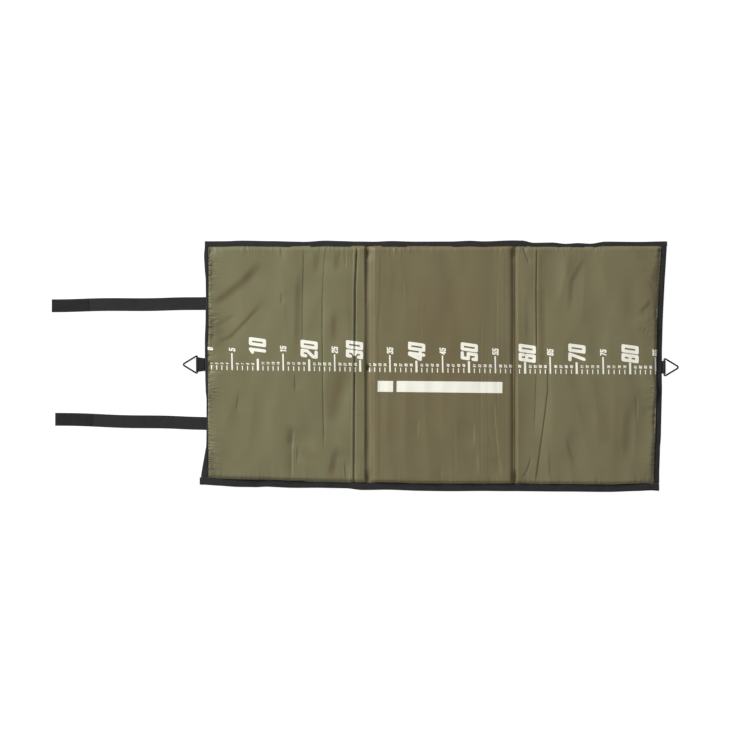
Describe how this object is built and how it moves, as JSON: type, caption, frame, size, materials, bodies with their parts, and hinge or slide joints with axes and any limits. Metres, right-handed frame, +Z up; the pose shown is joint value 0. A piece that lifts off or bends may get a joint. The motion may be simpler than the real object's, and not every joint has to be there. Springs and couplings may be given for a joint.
{
  "type": "unhooking mat",
  "caption": "Foldable padded angling unhooking mat with a printed ruler, bound edges, wrap straps with hook-and-loop ends and wire rings.",
  "frame": {"origin": "on the ground under the centre of the middle panel, midway between the two stitched fold lines", "axes": "+X along the mat's length, from the end with the straps to the other end, which is the way the ruler's numbers rise; +Y towards the back edge, which is the picture's top edge; +Z up"},
  "size_m": [1.2065, 0.4813, 0.016],
  "materials": {
    "cover_cloth": "olive coated nylon, satin",
    "underside_cloth": "dark coated nylon, matt",
    "edge_tape": "black woven binding tape",
    "webbing": "black woven polyester webbing",
    "hook_and_loop": "black hook and loop tape",
    "foam": "grey closed-cell foam, matt",
    "ring_wire": "black coated steel wire"
  },
  "bodies": {
    "middle_panel": {"foam_pad_middle": "foam", "top_cover_middle": "cover_cloth", "bottom_cover_middle": "underside_cloth", "fold_seam_left": "cover_cloth", "fold_seam_right": "cover_cloth", "binding_back_middle": "edge_tape", "binding_front_middle": "edge_tape", "loop_patch_back": "hook_and_loop", "loop_patch_front": "hook_and_loop"},
    "left_panel": {"foam_pad_left": "foam", "top_cover_left": "cover_cloth", "bottom_cover_left": "underside_cloth", "binding_back_left": "edge_tape", "binding_front_left": "edge_tape", "binding_left_end": "edge_tape", "strap_back_tail": "webbing", "strap_front_tail": "webbing", "ring_tab_left": "webbing"},
    "right_panel": {"foam_pad_right": "foam", "top_cover_right": "cover_cloth", "bottom_cover_right": "underside_cloth", "binding_back_right": "edge_tape", "binding_front_right": "edge_tape", "binding_right_end": "edge_tape", "ring_tab_right": "webbing"},
    "back_strap_short": {"strap_back_near": "webbing"},
    "back_strap_long": {"strap_back_far": "webbing", "hook_patch_back": "hook_and_loop"},
    "front_strap_short": {"strap_front_near": "webbing"},
    "front_strap_long": {"strap_front_far": "webbing", "hook_patch_front": "hook_and_loop"},
    "left_ring": {"ring_left": "ring_wire"},
    "right_ring": {"ring_right": "ring_wire"}
  },
  "joints": [
    {"name": "fold_right", "type": "hinge", "parent": "middle_panel", "child": "right_panel", "pos_m": [0.1428, 0, 0.0165], "axis": [0, -1, 0], "range_deg": [0, 180]},
    {"name": "fold_left", "type": "hinge", "parent": "middle_panel", "child": "left_panel", "pos_m": [-0.1428, 0, 0.025], "axis": [0, 1, 0], "range_deg": [0, 180]},
    {"name": "strap_back_lift", "type": "hinge", "parent": "left_panel", "child": "back_strap_short", "pos_m": [-0.45354, 0.1197, 0.0006], "axis": [0, 1, 0], "range_deg": [0, 90]},
    {"name": "strap_back_wrap", "type": "hinge", "parent": "back_strap_short", "child": "back_strap_long", "pos_m": [-0.50514, 0.11904, 0.0006], "axis": [0, 1, 0], "range_deg": [0, 90]},
    {"name": "strap_front_lift", "type": "hinge", "parent": "left_panel", "child": "front_strap_short", "pos_m": [-0.45343, -0.1111, 0.0006], "axis": [0, 1, 0], "range_deg": [0, 90]},
    {"name": "strap_front_wrap", "type": "hinge", "parent": "front_strap_short", "child": "front_strap_long", "pos_m": [-0.50503, -0.10963, 0.0006], "axis": [0, 1, 0], "range_deg": [0, 90]},
    {"name": "ring_left_swing", "type": "hinge", "parent": "left_panel", "child": "left_ring", "pos_m": [-0.4681, 0.0023, 0.0029], "axis": [0, 1, 0], "range_deg": [0, 90]},
    {"name": "ring_right_swing", "type": "hinge", "parent": "right_panel", "child": "right_ring", "pos_m": [0.43, -0.0029, 0.0029], "axis": [0, -1, 0], "range_deg": [0, 90]}
  ]
}
